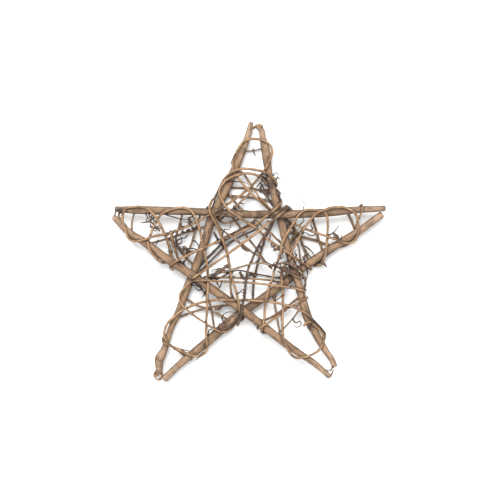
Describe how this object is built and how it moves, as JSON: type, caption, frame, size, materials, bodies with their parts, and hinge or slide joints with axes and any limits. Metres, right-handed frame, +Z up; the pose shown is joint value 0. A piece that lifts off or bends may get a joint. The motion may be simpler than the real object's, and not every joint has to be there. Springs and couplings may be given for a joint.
{
  "type": "star ornament",
  "caption": "Flat star of crossed peeled sticks wound all over with thin rattan vines, to lie on a table or to hang by its top point.",
  "frame": {"origin": "middle of the underside's bounding box, on the table that the star lies on", "axes": "+Z is up out of the star's front, +Y points along the star towards its top point, +X is to the right as the star is looked at from its front"},
  "size_m": [0.2014, 0.1924, 0.0218],
  "materials": {
    "peeled_stick": "dry peeled rattan stick, matt",
    "vine_tan": "dry tan vine, matt",
    "vine_brown": "dry dark brown vine, matt"
  },
  "bodies": {
    "root": {"stick_left_to_right": "peeled_stick", "stick_top_to_lower_left": "peeled_stick", "stick_top_to_lower_right": "peeled_stick", "stick_right_to_lower_left": "peeled_stick", "stick_left_to_lower_right": "peeled_stick", "ribbon_left_and_top": "vine_tan", "ribbon_left_and_lower_left": "vine_tan", "ribbon_lower_left_to_lower_right": "vine_tan", "ribbon_lower_right": "vine_tan", "band_top_to_middle": "vine_tan", "band_top_to_right": "vine_tan", "band_twin": "vine_tan", "diagonal_upper": "vine_tan", "diagonal_lower": "vine_tan", "crossband_and_lower_left_loop": "vine_tan", "loop_right_leg": "vine_tan", "arch_middle": "vine_tan", "diagonal_falling": "vine_tan", "rung_lower": "vine_tan", "rung_upper_middle": "vine_tan", "ribbon_right_upright": "vine_tan", "ribbon_right": "vine_tan", "hairpin_top": "vine_tan", "brace_top_long": "vine_tan", "brace_top_left": "vine_tan", "brace_top_right": "vine_tan", "brace_middle": "vine_tan", "brace_middle_right": "vine_tan", "hanger_below_crossbar": "vine_tan", "snake_left_back": "vine_tan", "snake_left_upright": "vine_tan", "upright_left_back": "vine_tan", "shoot_left": "vine_tan", "snake_right_back": "vine_tan", "upright_right_thin": "vine_tan", "strand_right_tip": "vine_tan", "hairpin_right_back": "vine_tan", "hairpin_lower_left_back": "vine_tan", "upright_lower_left": "vine_tan", "upright_lower_right": "vine_tan", "brace_lower_right_thin": "vine_tan", "brace_lower_right": "vine_tan", "tie_left_tip": "vine_tan", "twig_top": "vine_tan", "dark_vertical_long": "vine_brown", "dark_vertical_short": "vine_brown", "rung_dark": "vine_brown", "dark_pair": "vine_brown"}
  },
  "joints": []
}
